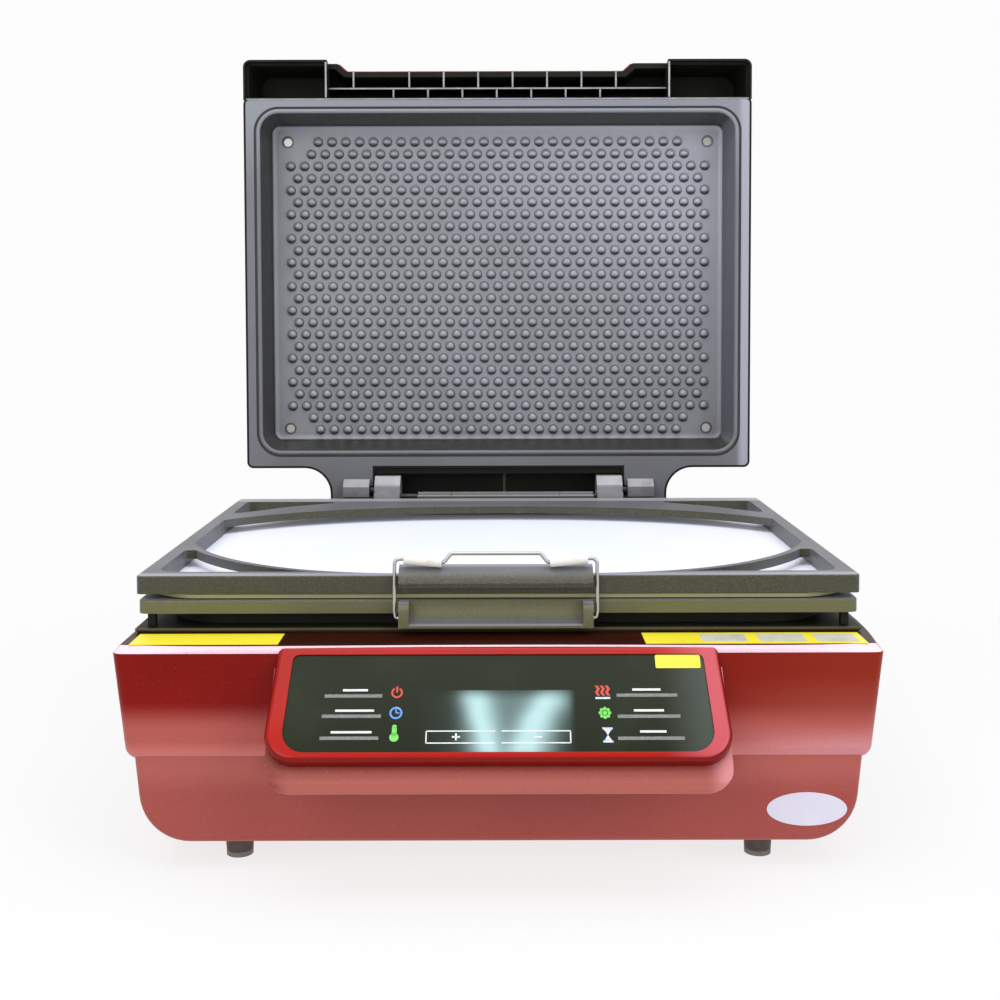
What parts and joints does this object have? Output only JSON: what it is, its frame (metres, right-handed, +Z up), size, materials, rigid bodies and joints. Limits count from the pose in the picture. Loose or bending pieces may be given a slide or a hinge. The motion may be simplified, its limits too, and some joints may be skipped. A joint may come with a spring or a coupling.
{
  "type": "3d vacuum sublimation machine",
  "caption": "Table-top vacuum heat press: red housing with sloped console, film frame with wire latch over a vacuum chamber, and a hinged lid with a recessed heater.",
  "frame": {"origin": "on the table, under the middle of the machine with its lid open", "axes": "+X to the right seen from the front, +Y to the back, +Z up"},
  "size_m": [0.5051, 0.5571, 0.608],
  "materials": {
    "red_gloss": "metallic red lacquer",
    "red_dusk": "satin red with fine sparkle",
    "frame_grey": "fine-grained dark grey coating",
    "plate_grey": "dark grey non-stick coating",
    "black_moulding": "black moulded plastic",
    "black_sheet": "black painted sheet",
    "console_glass": "black glossy panel",
    "film_white": "milky silicone",
    "steel": "bright steel",
    "tin": "plain steel sheet",
    "alloy": "cast alloy",
    "seal_rubber": "black rubber",
    "foot_rubber": "brown-black rubber",
    "sleeve_white": "heat-proof white plastic",
    "sticker": "printed sticker",
    "badge": "pale oval sticker",
    "board_green": "circuit board",
    "hose_clear": "silicone hose",
    "mat_white": "ceramic fibre mat",
    "iron": "laminated iron"
  },
  "bodies": {
    "base": {"lower_housing": "red_dusk", "upper_housing": "red_gloss", "housing_screws": "steel", "feet": "foot_rubber", "foot_pads": "foot_rubber", "foot_screws": "steel", "console_box": "red_dusk", "console_bezel": "red_gloss", "panel_glass": "console_glass", "display_board": "board_green", "labels": "sticker", "oval_badge": "badge", "base_plate": "black_sheet", "chamber_tray": "tin", "platform": "tin", "platform_spacers": "steel", "chamber_seal": "seal_rubber", "rest_posts": "seal_rubber", "hinge_brackets": "alloy", "bracket_screws": "steel", "lid_hinge_pins": "iron", "film_hinge_pin": "iron", "lid_bumpers": "seal_rubber", "vacuum_port": "steel", "vacuum_hose": "hose_clear", "pump_body": "iron", "pump_head": "alloy", "pump_mounts": "seal_rubber", "release_valve": "iron", "main_board": "board_green", "board_standoffs": "sleeve_white", "transformer": "iron", "heater_relay": "black_moulding", "fan_frame": "black_moulding", "power_inlet": "black_moulding", "switch_body": "black_moulding", "fuse_holder": "black_moulding"},
    "film_frame": {"upper_frame": "frame_grey", "film": "film_white", "lower_frame": "frame_grey", "film_hinge_leaf": "frame_grey", "leaf_screws": "steel"},
    "bail": {"latch_bail": "steel", "bail_sleeves": "sleeve_white"},
    "lid": {"lid_shell": "red_gloss", "lid_liner": "black_moulding", "lid_plate": "plate_grey", "lid_bosses": "alloy", "heater_tray": "plate_grey", "tray_screws": "steel", "heater_element": "steel", "insulation": "mat_white", "heater_cover": "tin", "thermal_cutout": "black_moulding"},
    "pump_rotor": {"pump_rotor": "iron"},
    "fan_rotor": {"fan_rotor": "black_moulding"},
    "switch_rocker": {"switch_rocker": "black_moulding"}
  },
  "joints": [
    {"name": "lid_hinge", "type": "hinge", "parent": "base", "child": "lid", "pos_m": [0, 0.19825, 0.19425], "axis": [-1, 0, 0], "range_deg": [-90, 0]},
    {"name": "film_hinge", "type": "hinge", "parent": "base", "child": "film_frame", "pos_m": [0, 0.189, 0.19], "axis": [-1, 0, 0], "range_deg": [0, 70]},
    {"name": "bail_hinge", "type": "hinge", "parent": "film_frame", "child": "bail", "pos_m": [-0.0015, -0.199, 0.1625], "axis": [1, 0, 0], "range_deg": [0, 95]},
    {"name": "switch_hinge", "type": "hinge", "parent": "base", "child": "switch_rocker", "pos_m": [0.112, 0.217, 0.0477], "axis": [1, 0, 0], "range_deg": [0, 20]},
    {"name": "fan_spin", "type": "hinge", "parent": "base", "child": "fan_rotor", "pos_m": [-0.15, 0.21, 0.0497], "axis": [0, 1, 0], "continuous": true},
    {"name": "pump_spin", "type": "hinge", "parent": "base", "child": "pump_rotor", "pos_m": [-0.095, 0.02, 0.0545], "axis": [1, 0, 0], "continuous": true}
  ]
}
